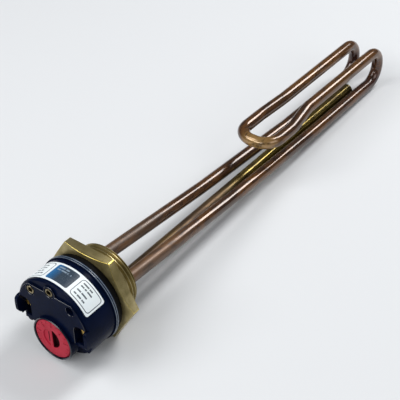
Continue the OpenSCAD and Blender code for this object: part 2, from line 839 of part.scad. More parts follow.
screw_plug();
element_sheath();
cold_pins();
end_beads();
push_on_tabs();
braze_fillets();
thermostat_pocket();
rod_tube();
rod_core();
head_gasket();
thermostat_base();
thermostat_cover();
label();
adjusting_dial();
adjusting_spindle();
hollow_rivets();
terminal_clamps();
terminal_screws();
neutral_strap();
line_strap();
load_clip();
switch_blade();
fixed_contact();
moving_contact();
push_pin();
switch_lever();
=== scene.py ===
"""Looks of a screw plug immersion heater with a plug-in rod thermostat, dressed on its own solids."""

import logging
import math
from collections.abc import Callable, Iterable, Iterator, Sequence
from contextlib import contextmanager
from dataclasses import dataclass
from enum import Enum
from typing import Any

import bpy
from bpy.types import Material, Node, NodeSocket, NodeTree, Object
from mathutils import Matrix, Vector


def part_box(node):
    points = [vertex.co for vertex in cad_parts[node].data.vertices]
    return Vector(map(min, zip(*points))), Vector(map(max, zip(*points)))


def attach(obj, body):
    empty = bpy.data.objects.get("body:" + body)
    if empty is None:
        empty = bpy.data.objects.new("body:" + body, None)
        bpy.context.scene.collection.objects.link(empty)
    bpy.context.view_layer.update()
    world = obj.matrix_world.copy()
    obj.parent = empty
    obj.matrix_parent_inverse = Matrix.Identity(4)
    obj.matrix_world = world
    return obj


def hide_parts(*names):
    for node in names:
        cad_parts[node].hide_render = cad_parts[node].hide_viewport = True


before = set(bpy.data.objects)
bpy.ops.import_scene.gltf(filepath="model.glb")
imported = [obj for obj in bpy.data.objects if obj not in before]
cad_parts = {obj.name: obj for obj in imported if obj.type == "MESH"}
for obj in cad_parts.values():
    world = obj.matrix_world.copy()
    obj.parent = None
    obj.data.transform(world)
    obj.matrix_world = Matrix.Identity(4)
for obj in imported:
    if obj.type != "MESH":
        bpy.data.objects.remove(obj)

logging.basicConfig(level=logging.INFO, format="%(message)s")
log = logging.getLogger("immersion_heater")

MM = 0.001
# Edges sharper than this are broken, and faces that meet below the next angle are shaded as one.
SHARP_DEG = 30.0
SMOOTH_DEG = 32.0
# Faces of a solid's copy that turn less than this are merged.
FLAT_DEG = 0.3
# Values between which nearly all of a noise lies, and those where a two-toned pattern has its tones.
NOISE_LOW, NOISE_HIGH = 0.3, 0.7
TWO_TONE = (0.35, 0.65)
# Octaves of an even pattern's noise and of a ragged one's.
EVEN, RAGGED = 3.0, 4.0
# Sockets of a colour mix, whose names repeat: share, first colour, second colour and result.
SHARE, FIRST, SECOND, MIXED = 0, 6, 7, 2
# Material slots of a piece with two finishes.
FACES, EDGES = 0, 1


class Body(Enum):
    """Bodies of the frame that pieces ride on."""

    HEATER = "heater"
    DIAL = "dial"


class Slot(Enum):
    """Material slots of the record, one given with each new piece."""

    PLUG = "brass_plug"
    SHEATH = "copper_sheath"
    PHENOLIC = "phenolic"
    RUBBER = "gasket_rubber"
    LABEL = "label_stock"
    DIAL = "dial_red"
    SMALL_BRASS = "small_brass"


def srgb(code: str) -> tuple[float, float, float, float]:
    """Turns an sRGB hex colour to linear light.

    Args:
        code: Colour as #RRGGBB.

    Returns:
        Linear red, green, blue and an alpha of 1.
    """
    shares = [int(code[i:i + 2], 16) / 255 for i in (1, 3, 5)]
    linear = [s / 12.92 if s <= 0.04045 else ((s + 0.055) / 1.055) ** 2.4 for s in shares]
    return (linear[0], linear[1], linear[2], 1.0)


def add_node(tree: NodeTree, kind: str, inputs: dict[Any, Any] | None = None,
             stops: Iterable[tuple[float, str]] = (), **settings: Any) -> Node:
    """Adds one node, sets its options, fills its inputs and places a ramp's stops.

    Args:
        tree: Tree that gets the node.
        kind: Blender's name of the node's type.
        inputs: Values, or output sockets to link, by input name or number.
        stops: Place and hex colour of each stop of a colour ramp, in order.
        settings: Options of the node.

    Returns:
        The new node.
    """
    node = tree.nodes.new(kind)
    for option, value in settings.items():
        setattr(node, option, value)
    for key, value in (inputs or {}).items():
        if isinstance(value, NodeSocket):
            tree.links.new(value, node.inputs[key])
        else:
            node.inputs[key].default_value = value
    for index, (place, code) in enumerate(stops):
        ramp = node.color_ramp.elements
        stop = ramp[index] if index < len(ramp) else ramp.new(place)
        stop.position = place
        stop.color = srgb(code)
    return node


@dataclass(frozen=True)
class Finish:
    """A finish, made as a material at its first use."""

    name: str

    def material(self) -> Material:
        """Makes the finish's material, or finds it where another piece has it already.

        Returns:
            The material.
        """
        found = bpy.data.materials.get(self.name)
        if found is not None:
            return found
        made = bpy.data.materials.new(self.name)
        made.use_nodes = True
        tree = made.node_tree
        tree.nodes.clear()
        shader = add_node(tree, "ShaderNodeBsdfPrincipled", self.surface(tree))
        add_node(tree, "ShaderNodeOutputMaterial", {"Surface": shader.outputs["BSDF"]})
        return made

    def surface(self, tree: NodeTree) -> dict[str, Any]:
        """Makes the finish's pattern.

        Args:
            tree: Node tree of the material.

        Returns:
            The shader's inputs.
        """
        raise NotImplementedError


@dataclass(frozen=True)
class HeatedTube(Finish):
    """Drawn tube, annealed and browned by heat: tint patches and a fine mottle, drawn out along it."""

    # Tints of the patches, of the heat from the plug to the far end, of the near bend and of the fold.
    dark: str
    middle: str
    warm: str
    plug_tint: str
    run_tint: str
    far_tint: str
    near_tint: str
    fold_tint: str
    metallic: float
    gloss: float = 1.0
    # Roughness of smooth and dull spots, and what the braze's soot adds to it near the plug.
    smooth: float = 0.11
    dull: float = 0.2
    sooted: float = 0.3
    soot_mm: tuple[float, float] = (45.0, 85.0)
    # Sizes across the tube, their stretch along it, and the noise's values at the tints.
    patch_mm: float = 10.0
    patch_at: tuple[float, float, float] = (0.38, 0.5, 0.6)
    mottle_mm: float = 2.4
    mottle_depth_mm: float = 0.004
    spot_at: tuple[float, float] = (0.5, 0.62)
    spot_share: float = 0.6
    stretch: float = 0.3
    # Places of the heat's tints: shares of the reach, then distances along X, and along Z and Y.
    reach_mm: float = 300.0
    tint_at: tuple[float, float, float, float] = (0.03, 0.3, 0.8, 0.97)
    heat_share: float = 0.55
    near_mm: tuple[float, float] = (143.0, 160.0)
    near_share: float = 0.75
    fold_mm: tuple[float, float] = (180.0, 235.0)
    fold_share: float = 0.4
    upper_mm: tuple[float, float] = (5.0, 9.0)
    front_mm: tuple[float, float] = (9.0, 0.0)

    def surface(self, tree: NodeTree) -> dict[str, Any]:
        """Mixes the patches with the heat's tints, those of its upper places and the dark spots.

        Args:
            tree: Node tree of the material.

        Returns:
            The shader's inputs.
        """
        place = add_node(tree, "ShaderNodeTexCoord").outputs["Object"]
        axes = add_node(tree, "ShaderNodeSeparateXYZ", {"Vector": place}).outputs
        drawn = add_node(tree, "ShaderNodeMapping", {
            "Vector": place, "Scale": (self.stretch, 1.0, 1.0)}).outputs["Vector"]
        patch, mottle = (
            add_node(tree, "ShaderNodeTexNoise", {
                "Vector": drawn, "Scale": 1 / (size * MM), "Detail": octaves}).outputs["Fac"]
            for size, octaves in ((self.patch_mm, RAGGED), (self.mottle_mm, EVEN)))
        spans = ((axes["X"], (0.0, self.reach_mm), (0.0, 1.0)),
                 (axes["X"], self.near_mm, (self.near_share, 0.0)),
                 (axes["Z"], self.upper_mm, (0.0, 1.0)),
                 (axes["X"], self.fold_mm, (0.0, self.fold_share)),
                 (axes["Y"], self.front_mm, (0.0, 1.0)),
                 (axes["X"], self.soot_mm, (self.sooted, 0.0)))
        along, near, upper, runs, front, brazed = (
            add_node(tree, "ShaderNodeMapRange", {
                "Value": axis, "From Min": start * MM, "From Max": end * MM,
                "To Min": low, "To Max": high}).outputs["Result"]
            for axis, (start, end), (low, high) in spans)
        tones = zip(self.patch_at, (self.dark, self.middle, self.warm))
        patches = add_node(tree, "ShaderNodeValToRGB", {"Fac": patch}, tones).outputs["Color"]
        tones = zip(self.tint_at, (self.plug_tint, self.run_tint, self.run_tint, self.far_tint))
        heat = add_node(tree, "ShaderNodeValToRGB", {"Fac": along}, tones).outputs["Color"]
        tint = add_node(tree, "ShaderNodeMix", {SHARE: self.heat_share, FIRST: patches, SECOND: heat},
                        data_type="RGBA").outputs[MIXED]
        fold = add_node(tree, "ShaderNodeMath", {0: upper, 1: runs}, operation="MULTIPLY").outputs[0]
        high = add_node(tree, "ShaderNodeMath", {0: upper, 1: front}, operation="MULTIPLY").outputs[0]
        gold = add_node(tree, "ShaderNodeMath", {0: near, 1: high}, operation="MULTIPLY").outputs[0]
        spots = add_node(tree, "ShaderNodeMapRange", {
            "Value": mottle, "From Min": self.spot_at[0], "From Max": self.spot_at[1],
            "To Max": self.spot_share}).outputs["Result"]
        for share, code in ((fold, self.fold_tint), (gold, self.near_tint), (spots, self.dark)):
            tint = add_node(tree, "ShaderNodeMix", {SHARE: share, FIRST: tint, SECOND: srgb(code)},
                            data_type="RGBA").outputs[MIXED]
        worn = add_node(tree, "ShaderNodeMapRange", {
            "Value": mottle, "From Min": NOISE_LOW, "From Max": NOISE_HIGH,
            "To Min": self.smooth, "To Max": self.dull}).outputs["Result"]
        rough = add_node(tree, "ShaderNodeMath", {0: worn, 1: brazed}, operation="ADD").outputs[0]
        normal = add_node(tree, "ShaderNodeBump", {
            "Height": mottle, "Strength": 1.0, "Distance": self.mottle_depth_mm * MM}).outputs["Normal"]
        return {"Base Color": tint, "Metallic": self.metallic, "Roughness": rough, "Normal": normal,
                "Specular IOR Level": self.gloss}


@dataclass(frozen=True)
class WorkedBrass(Finish):
    """Forged and turned brass, slightly tarnished: cloudy patches, grain and small pits."""

    dark: str
    middle: str
    bright: str
    cloud_mm: float = 9.0
    cloud_at: tuple[float, float, float] = (0.34, 0.5, 0.66)
    # The forging's grain is finer; it is drawn this coarse so that it shows.
    grain_mm: float = 0.9
    pit_at: tuple[float, float] = (0.5, 0.7)
    pit_share: float = 0.4
    smooth: float = 0.28
    dull: float = 0.46
    depth_mm: float = 0.03
    metallic: float = 1.0

    def surface(self, tree: NodeTree) -> dict[str, Any]:
        """Mixes the clouds of tarnish with the grain.

        Args:
            tree: Node tree of the material.

        Returns:
            The shader's inputs.
        """
        place = add_node(tree, "ShaderNodeTexCoord").outputs["Object"]
        cloud, grain = (
            add_node(tree, "ShaderNodeTexNoise", {
                "Vector": place, "Scale": 1 / (size * MM), "Detail": RAGGED}).outputs["Fac"]
            for size in (self.cloud_mm, self.grain_mm))
        tones = zip(self.cloud_at, (self.dark, self.middle, self.bright))
        clouds = add_node(tree, "ShaderNodeValToRGB", {"Fac": cloud}, tones).outputs["Color"]
        pits = add_node(tree, "ShaderNodeMapRange", {
            "Value": grain, "From Min": self.pit_at[0], "From Max": self.pit_at[1],
            "To Max": self.pit_share}).outputs["Result"]
        tint = add_node(tree, "ShaderNodeMix", {SHARE: pits, FIRST: clouds, SECOND: srgb(self.dark)},
                        data_type="RGBA").outputs[MIXED]
        rough = add_node(tree, "ShaderNodeMapRange", {
            "Value": cloud, "From Min": NOISE_LOW, "From Max": NOISE_HIGH,
            "To Min": self.dull, "To Max": self.smooth}).outputs["Result"]
        normal = add_node(tree, "ShaderNodeBump", {
            "Height": grain, "Strength": 1.0, "Distance": self.depth_mm * MM}).outputs["Normal"]
        return {"Base Color": tint, "Metallic": self.metallic, "Roughness": rough, "Normal": normal}


@dataclass(frozen=True)
class Moulding(Finish):
    """Moulded plastic or rubber: an even colour with a slight flow mottle and a fine skin."""

    colour: str
    shade: str
    smooth: float
    dull: float
    gloss: float
    flow_mm: float = 7.0
    # The mould's skin is finer; it is drawn this coarse so that it shows.
    skin_mm: float = 0.6
    skin_depth_mm: float = 0.006

    def surface(self, tree: NodeTree) -> dict[str, Any]:
        """Mixes the flow mottle with the skin's grain.

        Args:
            tree: Node tree of the material.

        Returns:
            The shader's inputs.
        """
        place = add_node(tree, "ShaderNodeTexCoord").outputs["Object"]
        flow, skin = (
            add_node(tree, "ShaderNodeTexNoise", {
                "Vector": place, "Scale": 1 / (size * MM), "Detail": EVEN}).outputs["Fac"]
            for size in (self.flow_mm, self.skin_mm))
        tones = zip(TWO_TONE, (self.colour, self.shade))
        tint = add_node(tree, "ShaderNodeValToRGB", {"Fac": flow}, tones).outputs["Color"]
        rough = add_node(tree, "ShaderNodeMapRange", {
            "Value": flow, "From Min": NOISE_LOW, "From Max": NOISE_HIGH,
            "To Min": self.smooth, "To Max": self.dull}).outputs["Result"]
        normal = add_node(tree, "ShaderNodeBump", {
            "Height": skin, "Strength": 1.0, "Distance": self.skin_depth_mm * MM}).outputs["Normal"]
        return {"Base Color": tint, "Roughness": rough, "Normal": normal, "Specular IOR Level": self.gloss}


@dataclass(frozen=True)
class Stock(Finish):
    """Plain stock of the inner pieces: strip, wire, rod or fired clay with a fine grain."""

    colour: str
    shade: str
    metallic: float
    smooth: float
    dull: float
    stretch: float = 0.25
    # Rolling leaves finer lines; they are drawn this coarse so that they show.
    grain_mm: float = 0.8

    def surface(self, tree: NodeTree) -> dict[str, Any]:
        """Varies the colour and the roughness a little by the grain.

        Args:
            tree: Node tree of the material.

        Returns:
            The shader's inputs.
        """
        place = add_node(tree, "ShaderNodeTexCoord").outputs["Object"]
        rolled = add_node(tree, "ShaderNodeMapping", {
            "Vector": place, "Scale": (self.stretch, 1.0, 1.0)}).outputs["Vector"]
        grain = add_node(tree, "ShaderNodeTexNoise", {
            "Vector": rolled, "Scale": 1 / (self.grain_mm * MM), "Detail": EVEN}).outputs["Fac"]
        tones = zip(TWO_TONE, (self.colour, self.shade))
        tint = add_node(tree, "ShaderNodeValToRGB", {"Fac": grain}, tones).outputs["Color"]
        rough = add_node(tree, "ShaderNodeMapRange", {
            "Value": grain, "From Min": NOISE_LOW, "From Max": NOISE_HIGH,
            "To Min": self.smooth, "To Max": self.dull}).outputs["Result"]
        return {"Base Color": tint, "Metallic": self.metallic, "Roughness": rough}


@dataclass(frozen=True)
class PrintedInk(Finish):
    """Ink on the label: two tones that change along the label's arc, with a fine print grain."""

    left: str
    right: str
    left_deg: float = 0.0
    right_deg: float = 1.0
    # The print's dots are finer; they are drawn this coarse so that they show.
    grain_mm: float = 0.35
    worn_at: tuple[float, float] = (0.5, 0.75)
    worn_share: float = 0.2
    worn: str = "#C9D4DE"
    rough: float = 0.32

    def surface(self, tree: NodeTree) -> dict[str, Any]:
        """Runs the tones along the angle round the plug's axis.

        Args:
            tree: Node tree of the material.

        Returns:
            The shader's inputs.
        """
        place = add_node(tree, "ShaderNodeTexCoord").outputs["Object"]
        axes = add_node(tree, "ShaderNodeSeparateXYZ", {"Vector": place}).outputs
        angle = add_node(tree, "ShaderNodeMath", {0: axes["Y"], 1: axes["Z"]},
                         operation="ARCTAN2").outputs[0]
        share = add_node(tree, "ShaderNodeMapRange", {
            "Value": angle, "From Min": -math.radians(self.left_deg),
            "From Max": -math.radians(self.right_deg)}).outputs["Result"]
        grain = add_node(tree, "ShaderNodeTexNoise", {
            "Vector": place, "Scale": 1 / (self.grain_mm * MM), "Detail": RAGGED}).outputs["Fac"]
        worn = add_node(tree, "ShaderNodeMapRange", {
            "Value": grain, "From Min": self.worn_at[0], "From Max": self.worn_at[1],
            "To Max": self.worn_share}).outputs["Result"]
        tint = srgb(self.left)
        for part, code in ((share, self.right), (worn, self.worn)):
            tint = add_node(tree, "ShaderNodeMix", {SHARE: part, FIRST: tint, SECOND: srgb(code)},
                            data_type="RGBA").outputs[MIXED]
        return {"Base Color": tint, "Roughness": self.rough}


@dataclass(frozen=True)
class StudioPaper(Finish):
    """Matt studio paper under the object."""

    colour: str = "#E4E6E8"
    rough: float = 0.9
    gloss: float = 0.1

    def surface(self, tree: NodeTree) -> dict[str, Any]:
        """Sets one even colour."""
        return {"Base Color": srgb(self.colour), "Roughness": self.rough, "Specular IOR Level": self.gloss}


# Copper sheath, annealed in a furnace: brown oxide with red and purple tints over a bright metal.
COPPER = HeatedTube("annealed_copper", dark="#24140C", middle="#56361E", warm="#74491C",
                    plug_tint="#74573A", run_tint="#523418", far_tint="#36191C", near_tint="#D2AA68",
                    fold_tint="#84581E", metallic=0.26)
# Drawn brass tube, browned by the braze near the plug and yellow beyond, with a yellow streak of light.
POCKET = HeatedTube("drawn_brass", dark="#2E2218", middle="#564426", warm="#6E5A28",
                    plug_tint="#644C36", run_tint="#857428", far_tint="#7C6A2A", near_tint="#857428",
                    fold_tint="#857428", metallic=0.75, tint_at=(0.36, 0.5, 0.8, 0.97),
                    soot_mm=(110.0, 150.0))
# Forged brass, dull and slightly tarnished: an olive tan with a soft sheen.
FORGED = WorkedBrass("forged_brass", "#7C7048", "#9A8C60", "#AC9E74", metallic=0.75)
# Machined or rubbed edges of the brass, brighter than its faces: partly wear, partly a painted highlight
# line.
WORN_EDGE_AND_GLINT = WorkedBrass("worn_brass_edge_and_glint", "#B8A050", "#D0BA62", "#E2D080", smooth=0.2, dull=0.3,
                          depth_mm=0.004)
# Silver-bearing braze, run and wrinkled, with flux stains.
BRAZE = WorkedBrass("braze", "#6F5530", "#A8874A", "#C8AC66", cloud_mm=3.0, depth_mm=0.08)
# Turned brass of the small parts: clean, yellow and shiny.
BRASS = WorkedBrass("turned_brass", "#9C7C38", "#C4A24E", "#DABC6A", cloud_mm=3.0, grain_mm=0.4,
                    smooth=0.18, dull=0.32, depth_mm=0.008)
# Rolled rims of the hollow rivets: tarnished brass, grey-gold with a bright turn of the edge.
RIVET_BRASS = WorkedBrass("tarnished_brass", "#4E452F", "#7C7052", "#A09474", cloud_mm=2.0, grain_mm=0.4,
                          smooth=0.2, dull=0.34, depth_mm=0.006)
# Phenolic moulding: black with a blue tint that is a painted reflection, and faint real reflections that
# its skin blurs slightly.
PHENOLIC = Moulding("moulded_phenolic", "#050D22", "#07112A", 0.18, 0.26, gloss=0.03)
# Edges of the moulding, polished by handling and painted a little lighter as a highlight: they catch the
# light as thin lines.
PHENOLIC_EDGE_GLINT = Moulding("polished_phenolic_glint", "#10151F", "#161C2A", 0.16, 0.22, gloss=0.7,
                         skin_depth_mm=0.002)
# Round beads of the lip, smooth from the mould and painted grey-blue: a painted highlight and reflection
# line along the black lip.
LIP_PAINTED_HIGHLIGHT = Moulding("lip_painted_highlight", "#4C5A6A", "#586676", 0.14, 0.2, gloss=1.0, skin_depth_mm=0.001)
# Rubber ring: dull black.
RUBBER = Moulding("moulded_rubber", "#030304", "#070708", 0.5, 0.62, gloss=0.1, skin_depth_mm=0.015)
# Dial of dyed nylon: crimson with a soft satin skin.
DIAL_RED = Moulding("moulded_red_nylon", "#AE1E34", "#BA283E", 0.42, 0.52, gloss=0.2, skin_depth_mm=0.012)
# Raised figures of the dial, darkened by handling.
DIAL_MARK = Moulding("handled_red_nylon", "#8C1628", "#981E30", 0.42, 0.52, gloss=0.2)
# Walls and floor of the dial's slot and slit, rough from the mould and painted dark as the shade in the
# recess.
DIAL_SLOT_SHADE = Moulding("red_nylon_painted_shade", "#2C040A", "#3E0810", 0.5, 0.6, gloss=0.15)
# Coated paper of the label: white with a soft gloss.
PAPER = Moulding("coated_paper", "#EEF7FA", "#F4FAFB", 0.28, 0.38, gloss=0.35, skin_depth_mm=0.003)
# Inks of the label: dark outlines, a blue field that turns to slate, grey and pale bars.
OUTLINE_INK = PrintedInk("outline_ink", "#35404C", "#35404C")
FIELD_INK = PrintedInk("field_ink", "#0A68A4", "#2C3B4A", -14.0, 0.0)
BAR_INK = PrintedInk("bar_ink", "#4C565E", "#4C565E")
PALE_INK = PrintedInk("pale_ink", "#8496A6", "#8496A6")
# Inner pieces: tinned steel, spring bronze, silver contacts and fired clay.
STEEL = Stock("tinned_steel", "#C2C5C8", "#8C9094", 1.0, 0.28, 0.42)
BRONZE = Stock("spring_bronze", "#B5803F", "#8A5E2C", 1.0, 0.24, 0.38)
SILVER = Stock("contact_silver", "#D8DADC", "#A8ACB0", 1.0, 0.2, 0.34)
CLAY = Stock("fired_clay", "#E2DACB", "#CFC5B2", 0.0, 0.65, 0.8)
FLOOR = StudioPaper("studio_paper")


def select_only(piece: Object) -> None:
    """Selects one piece and makes it the active one.

    Args:
        piece: Piece that the next operators work on.
    """
    bpy.ops.object.select_all(action="DESELECT")
    piece.select_set(True)
    bpy.context.view_layer.objects.active = piece


@contextmanager
def editing(piece: Object) -> Iterator[None]:
    """Puts one piece in edit mode with everything selected, and leaves it in object mode.

    Args:
        piece: Piece that is edited.

    Yields:
        Nothing; the edit operators work on the piece meanwhile.
    """
    select_only(piece)
    bpy.ops.object.mode_set(mode="EDIT")
    bpy.ops.mesh.select_all(action="SELECT")
    yield
    bpy.ops.object.mode_set(mode="OBJECT")


def shape(operator: Callable[..., set[str]], **settings: Any) -> Object:
    """Adds a plain shape to work on.

    Args:
        operator: Blender's operator that adds it.
        settings: Options of the operator.

    Returns:
        The new piece.
    """
    bpy.ops.object.select_all(action="DESELECT")
    operator(**settings)
    return bpy.context.object


def coat(piece: Object, *finishes: Finish) -> None:
    """Adds finishes to a piece, one per material slot."""
    for finish in finishes:
        piece.data.materials.append(finish.material())


def apply_modifier(piece: Object, kind: str, **settings: Any) -> None:
    """Adds a modifier with its settings and applies it.

    Args:
        piece: Piece that is shaped.
        kind: Blender's name of the modifier's type.
        settings: Options of the modifier.
    """
    select_only(piece)
    modifier = piece.modifiers.new(kind.lower(), kind)
    for option, value in settings.items():
        setattr(modifier, option, value)
    bpy.ops.object.modifier_apply(modifier=modifier.name)


def merged_copy(node: str, name: str, merge_mm: float = 0.002) -> Object:
    """Copies a solid as a piece of its own, with its loose triangles merged to clean faces.

    Args:
        node: Name of the solid.
        name: Name of the piece.
        merge_mm: Distance in millimetres below which points become one.

    Returns:
        The copy, at the origin.
    """
    piece = bpy.data.objects.new(name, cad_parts[node].data.copy())
    bpy.context.scene.collection.objects.link(piece)
    piece.data.materials.clear()
    select_only(piece)
    bpy.ops.mesh.customdata_custom_splitnormals_clear()
    with editing(piece):
        bpy.ops.mesh.remove_doubles(threshold=merge_mm * MM)
        bpy.ops.mesh.dissolve_limited(angle_limit=math.radians(FLAT_DEG))
    return piece


def twin(piece: Object) -> Object:
    """Copies a piece with a mesh of its own.

    Args:
        piece: Piece that is copied.

    Returns:
        The copy, where the piece is.
    """
    copy = bpy.data.objects.new(piece.name, piece.data.copy())
    bpy.context.scene.collection.objects.link(copy)
    return copy


def round_edges(piece: Object, radius_mm: float, faces: int = 2) -> None:
    """Rounds every sharp edge.

    Args:
        piece: Piece that is rounded.
        radius_mm: Width of the rounding in millimetres.
        faces: Faces across the rounding.
    """
    apply_modifier(piece, "BEVEL", width=radius_mm * MM, segments=faces, limit_method="ANGLE",
                   angle_limit=math.radians(SHARP_DEG), use_clamp_overlap=True)


def bevel_edges(piece: Object, width_mm: float, chosen: Callable[[Vector], bool]) -> None:
    """Bevels the sharp edges that lie in one place, in the finish of the piece's edges.

    Args:
        piece: Piece that is bevelled.
        width_mm: Width of the bevel along each face, in millimetres.
        chosen: Says of a point, in metres, whether an edge that ends there is bevelled.
    """
    mesh = piece.data
    with editing(piece):
        bpy.ops.mesh.select_mode(type="EDGE")
        bpy.ops.mesh.select_all(action="DESELECT")
        bpy.ops.mesh.edges_select_sharp(sharpness=math.radians(SHARP_DEG))
    sharp = [edge for edge in mesh.edges if edge.select]
    for parts in (mesh.vertices, mesh.edges, mesh.polygons):
        parts.foreach_set("select", [False] * len(parts))
    for edge in sharp:
        edge.select = all(chosen(mesh.vertices[end].co) for end in edge.vertices)
    select_only(piece)
    bpy.ops.object.mode_set(mode="EDIT")
    bpy.ops.mesh.bevel(offset=width_mm * MM, segments=1, affect="EDGES", clamp_overlap=True,
                       material=EDGES)
    bpy.ops.mesh.select_mode(type="VERT")
    bpy.ops.object.mode_set(mode="OBJECT")


def joined(pieces: Sequence[Object], name: str) -> Object:
    """Joins pieces to one.

    Args:
        pieces: Pieces at the origin.
        name: Name of the joined piece.

    Returns:
        The joined piece.
    """
    select_only(pieces[0])
    for piece in pieces[1:]:
        piece.select_set(True)
    bpy.ops.object.join()
    whole = bpy.context.object
    whole.name = name
    return whole


def dress_piece(piece: Object, slot: Slot, *finishes: Finish, body: Body = Body.HEATER) -> Object:
    """Gives a finished piece its shading, materials and body.

    Args:
        piece: Finished piece.
        slot: Not used.
        finishes: Finishes in the order of its material slots, where it has none yet.
        body: Body that it rides on.

    Returns:
        The same piece.
    """
    coat(piece, *finishes)
    select_only(piece)
    bpy.ops.object.shade_smooth_by_angle(angle=math.radians(SMOOTH_DEG))
    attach(piece, body.value)
    log.info("piece %s rides on %s", piece.name, body.value)
    return piece


def paint_nodes(finish: Finish, *nodes: str) -> None:
    """Gives solids that stay as they are their finish.

    Args:
        finish: Finish of all their faces.
        nodes: Names of the solids.
    """
    for node in nodes:
        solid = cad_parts[node]
        solid.data.materials.clear()
        coat(solid, finish)
        log.info("solid %s has finish %s", node, finish.name)


@dataclass
class ScrewPlug:
    """Hexagon-headed brass plug with its pipe thread cut."""

    # Hexagon: start of the chamfer inside the flats, its slope, its bright line, worn and painted lighter
    # as a highlight, and the broken corners.
    sides: int = 6
    edge_mm: float = 0.35
    chamfer_slope: float = 2.2
    line_mm: float = 0.6
    snap_mm: float = 0.02
    corner_mm: float = 0.22
    trim_mm: tuple[float, float] = (0.5, 40.0)
    # Pipe thread: pitch, radii of crest and root, and how far the cutter stands over the crest.
    pitch_mm: float = 2.309
    crest_mm: float = 20.95
    over_mm: float = 0.8
    root_mm: float = 19.5
    root_flat_mm: float = 0.36
    flank_deg: float = 27.5
    first_turn_mm: float = 2.0
    turns: int = 5
    steps: int = 128

    def groove(self) -> Object:
        """Makes the helical cutter of the thread's groove.

        Returns:
            A closed cutter round the X axis.
        """
        over = self.crest_mm + self.over_mm
        half_root = self.root_flat_mm / 2
        half_top = half_root + (over - self.root_mm) * math.tan(math.radians(self.flank_deg))
        cutter = shape(bpy.ops.mesh.primitive_plane_add, size=1.0)
        profile = ((-half_root, self.root_mm), (half_root, self.root_mm),
                   (-half_top, over), (half_top, over))
        for vertex, (along, radius) in zip(cutter.data.vertices, profile):
            vertex.co = Vector((self.first_turn_mm + along, 0.0, -radius)) * MM
        with editing(cutter):
            bpy.ops.mesh.delete(type="ONLY_FACE")
        apply_modifier(cutter, "SCREW", axis="X", screw_offset=self.pitch_mm * MM, iterations=self.turns,
                       steps=self.steps, render_steps=self.steps, use_merge_vertices=True)
        with editing(cutter):
            bpy.ops.mesh.fill_holes(sides=0)
            bpy.ops.mesh.normals_make_consistent(inside=False)
        return cutter

    def trim(self, plug: Object, front: float, inside: float, slope: float, sides: int, slot: int) -> None:
        """Cuts the plug to the inside of a cone round its axis.

        Args:
            plug: Piece that is cut.
            front: Place of the hexagon's front face, in metres.
            inside: Distance of the cone's sides from the axis at that place, in metres.
            slope: Growth of that distance along the axis.
            sides: Sides of the cone; one of six faces each of the hexagon's corners.
            slot: Material slot of the cut.
        """
        before, behind = (side * MM for side in self.trim_mm)
        corner = 1 / math.cos(math.pi / sides)
        cutter = shape(bpy.ops.mesh.primitive_cone_add, vertices=sides, depth=before + behind,
                       radius1=(inside - slope * before) * corner,
                       radius2=(inside + slope * behind) * corner, rotation=(0.0, math.radians(90), 0.0))
        bpy.ops.object.transform_apply(rotation=True)
        cutter.data.transform(Matrix.Translation((front + (behind - before) / 2, 0.0, 0.0))
                              @ Matrix.Rotation(math.pi / self.sides, 4, "X"))
        coat(cutter, FORGED, WORN_EDGE_AND_GLINT)
        cutter.data.polygons.foreach_set("material_index", [slot] * len(cutter.data.polygons))
        apply_modifier(plug, "BOOLEAN", operation="INTERSECT", object=cutter, solver="EXACT")
        bpy.data.objects.remove(cutter)

    def build(self) -> Object:
        """Turns the hexagon's chamfer, breaks its edges and cuts the thread.

        Returns:
            The plug's piece.
        """
        plug = merged_copy("screw_plug", "threaded_plug")
        coat(plug, FORGED, WORN_EDGE_AND_GLINT)
        low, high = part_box("screw_plug")
        turned = high.z - self.edge_mm * MM
        self.trim(plug, low.x, turned, self.chamfer_slope, self.steps, FACES)
        # The broken corners take the worn edge finish, painted lighter as a highlight.
        self.trim(plug, low.x, high.y - self.corner_mm * MM, 0.0, self.sides, EDGES)
        corner_x = low.x + (high.y - turned) / self.chamfer_slope
        turns = (2 * math.pi * side / self.sides for side in range(self.sides))
        flats = [Vector((0.0, math.sin(turn), math.cos(turn))) for turn in turns]

        def on_chamfer(point: Vector) -> bool:
            """Says whether a point lies where the chamfer meets a flat."""
            return (point.x < corner_x
                    and max(point.dot(flat) for flat in flats) > high.z - self.snap_mm * MM)

        # The line where the chamfer meets a flat takes the worn edge finish, painted lighter as a highlight
        # line.
        bevel_edges(plug, self.line_mm, on_chamfer)
        cutter = self.groove()
        apply_modifier(plug, "BOOLEAN", operation="DIFFERENCE", object=cutter, solver="EXACT")
        bpy.data.objects.remove(cutter)
        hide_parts("screw_plug")
        return dress_piece(plug, Slot.PLUG)


@dataclass
class HeatingElement:
    """Folded copper element, its pocket and what closes its cold ends."""

    step_mm: float = 0.12

    def dress(self) -> None:
        """Finishes the tubes and the small pieces at their ends."""
        sheath = merged_copy("element_sheath", "bent_sheath", self.step_mm)
        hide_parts("element_sheath")
        dress_piece(sheath, Slot.SHEATH, COPPER)
        paint_nodes(POCKET, "thermostat_pocket")
        paint_nodes(BRAZE, "braze_fillets")
        paint_nodes(STEEL, "cold_pins", "push_on_tabs")
        paint_nodes(CLAY, "end_beads")


